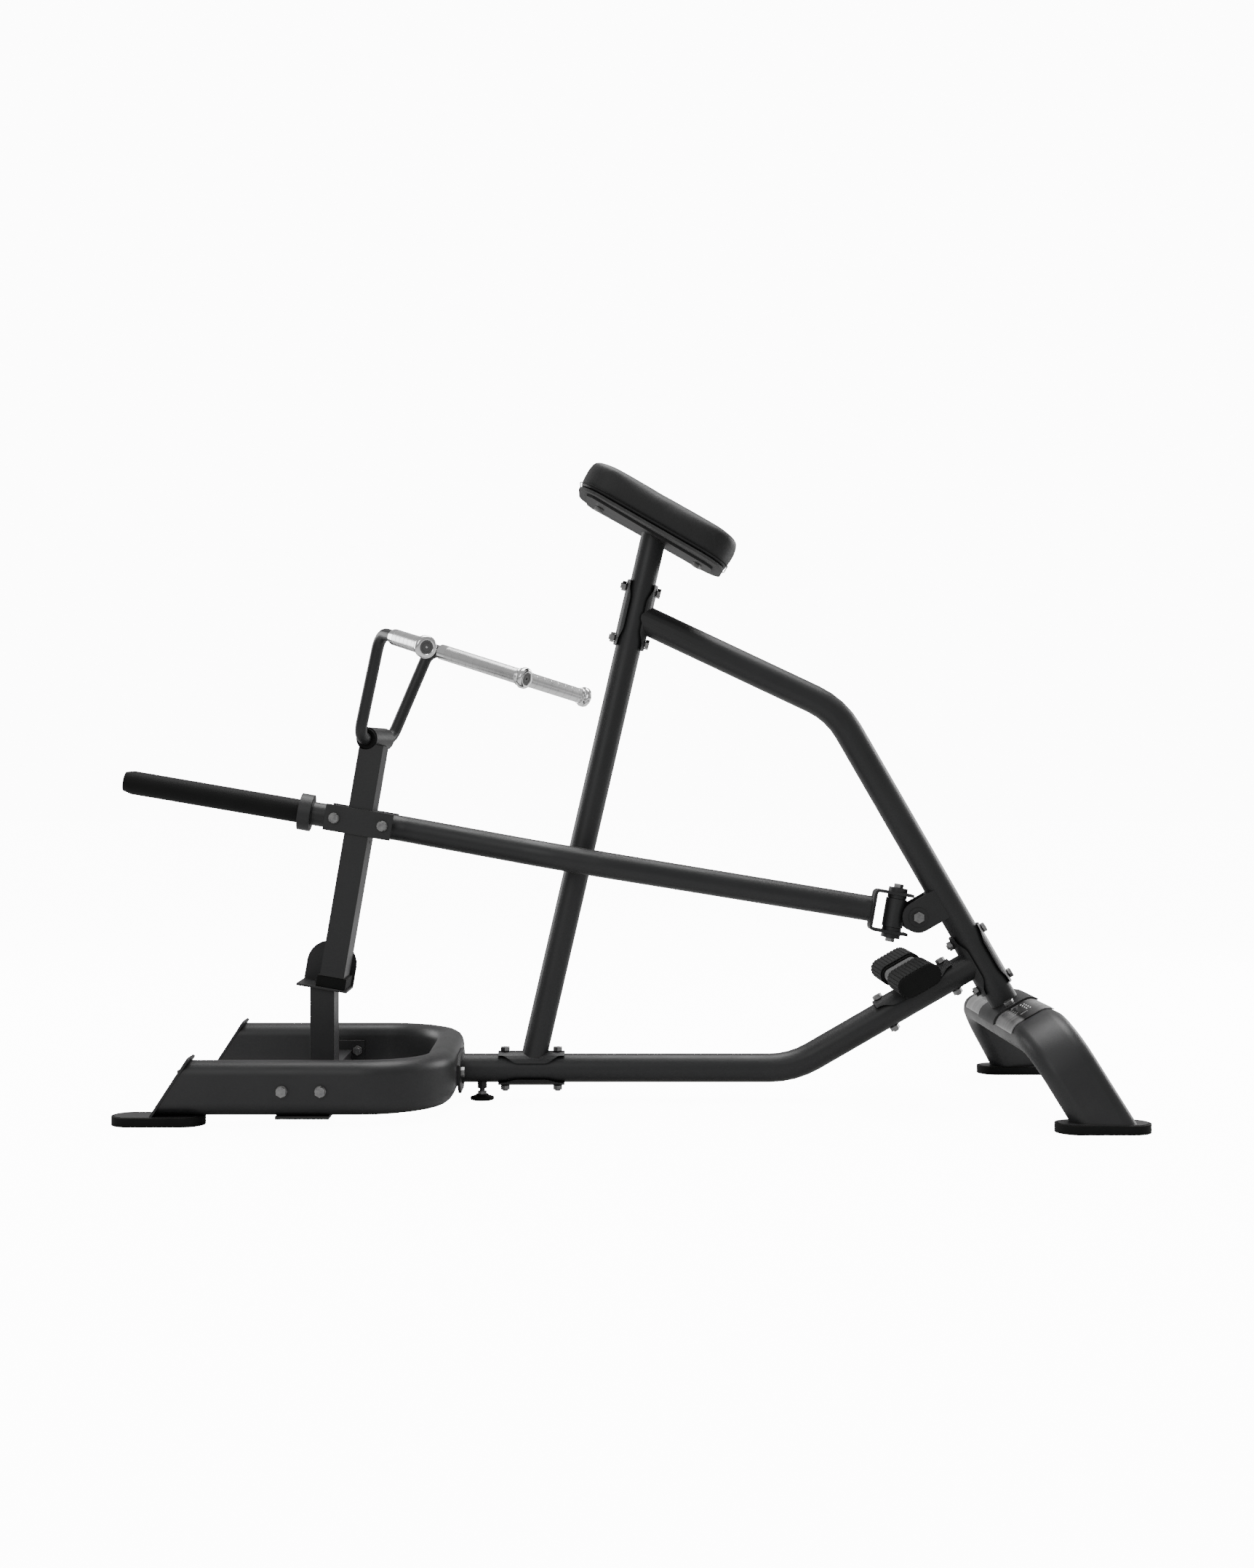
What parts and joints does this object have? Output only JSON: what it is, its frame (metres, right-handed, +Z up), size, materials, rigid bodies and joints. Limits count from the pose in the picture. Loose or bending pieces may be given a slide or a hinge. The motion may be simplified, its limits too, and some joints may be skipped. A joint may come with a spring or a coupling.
{
  "type": "chest-supported lever row and hip thrust machine",
  "caption": "Gym lever machine: chest pad on a raked post, bent tube frame on a front base and a rear arch, and a hinged lever arm with a plate horn and a swivelling handle.",
  "frame": {"origin": "on the floor, under the middle of the machine's overall box", "axes": "+Z up, +X toward the arched rear base, -X toward the loading horn, Y across the machine"},
  "size_m": [2.0486, 0.826, 1.332],
  "materials": {
    "frame_paint": "charcoal satin powder coat",
    "zinc_steel": "dull zinc plate",
    "chrome_grip": "knurled chrome",
    "satin_steel": "satin steel tread",
    "black_rubber": "matt moulded rubber",
    "horn_sleeve": "fine pebbled black sleeve",
    "pad_cover": "dark mottled vinyl",
    "pad_board": "matt board"
  },
  "bodies": {
    "frame": {"front_base": "frame_paint", "floor_rail": "frame_paint", "rear_arch": "frame_paint", "rear_beam": "frame_paint", "post": "frame_paint", "foot_sleeve_near": "black_rubber", "foot_sleeve_far": "black_rubber", "foot_bar": "frame_paint", "pin_clevis": "frame_paint", "chest_pad": "pad_cover", "rail_backing_plate": "frame_paint", "beam_backing_plate": "frame_paint", "front_foot_near": "black_rubber", "front_foot_far": "black_rubber", "rear_foot_near": "black_rubber", "rear_foot_far": "black_rubber", "cross_member": "frame_paint", "post_backing_plate": "frame_paint", "pad_board": "pad_board", "cross_bolt_1": "zinc_steel", "cross_bolt_2": "zinc_steel", "cross_bolt_3": "zinc_steel", "cross_bolt_4": "zinc_steel", "rail_bolt_lower": "zinc_steel", "rail_bolt_upper": "zinc_steel", "shield_bolt_1": "zinc_steel", "shield_bolt_2": "zinc_steel", "post_bolt_front": "zinc_steel", "post_bolt_rear": "zinc_steel", "beam_bolt_lower": "zinc_steel", "beam_bolt_upper": "zinc_steel", "crown_bolt_near": "zinc_steel", "crown_bolt_far": "zinc_steel", "foot_bolt_lower": "zinc_steel", "foot_bolt_upper": "zinc_steel", "hinge_pin": "zinc_steel", "step_plate_near": "satin_steel", "step_plate_far": "satin_steel", "rest_bracket": "frame_paint", "pad_bolt_upper": "zinc_steel", "pad_bolt_lower": "zinc_steel"},
    "carrier": {"carrier": "frame_paint"},
    "lever": {"lever_tube": "frame_paint", "swing_bolt": "zinc_steel", "lever_bracket": "frame_paint", "bracket_bolt_front": "zinc_steel", "bracket_bolt_rear": "zinc_steel", "upright": "frame_paint", "rest_bumper": "black_rubber", "horn": "frame_paint", "horn_sleeve": "horn_sleeve"},
    "handle": {"handle_bar": "frame_paint", "grip_near": "chrome_grip", "grip_middle": "chrome_grip", "grip_far": "chrome_grip"},
    "screw": {"screw_foot": "zinc_steel"}
  },
  "joints": [
    {"name": "lever_lift", "type": "hinge", "parent": "frame", "child": "carrier", "pos_m": [0.63966, 0, 0.384], "axis": [0, 1, 0], "range_deg": [0, 16]},
    {"name": "lever_swing", "type": "hinge", "parent": "carrier", "child": "lever", "pos_m": [0.59372, 0, 0.39185], "axis": [0.1685, 0, 0.9857], "range_deg": [0, 4]},
    {"name": "handle_tilt", "type": "hinge", "parent": "lever", "child": "handle", "pos_m": [-0.4955, 0, 0.75598], "axis": [-0.2756, -0.9613, 0], "range_deg": [0, 20]},
    {"name": "screw_height", "type": "slide", "parent": "frame", "child": "screw", "axis": [0, 0, 1], "range_m": [0, 0.006]}
  ]
}
